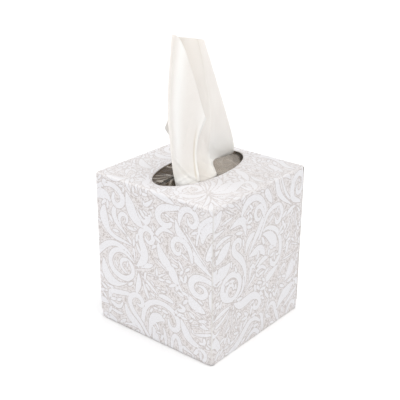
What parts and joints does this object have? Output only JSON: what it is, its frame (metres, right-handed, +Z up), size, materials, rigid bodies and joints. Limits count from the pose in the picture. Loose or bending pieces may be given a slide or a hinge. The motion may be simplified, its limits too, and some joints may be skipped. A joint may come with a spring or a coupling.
{
  "type": "tissue box",
  "caption": "Cube carton of facial tissues with an oval slit-film opening and one folded tissue standing out of it.",
  "frame": {"origin": "centre of the carton's base", "axes": "+Z up; +Y along the oval opening's long axis, the carton's closed ends face -Y and +Y; +X across the oval"},
  "size_m": [0.11, 0.11, 0.2256],
  "materials": {
    "printed_board": "satin",
    "film": "gloss",
    "tissue": "matte"
  },
  "bodies": {
    "root": {"carton": "printed_board", "window_film": "film", "tissue_stack": "tissue", "raised_tissue": "tissue"}
  },
  "joints": []
}
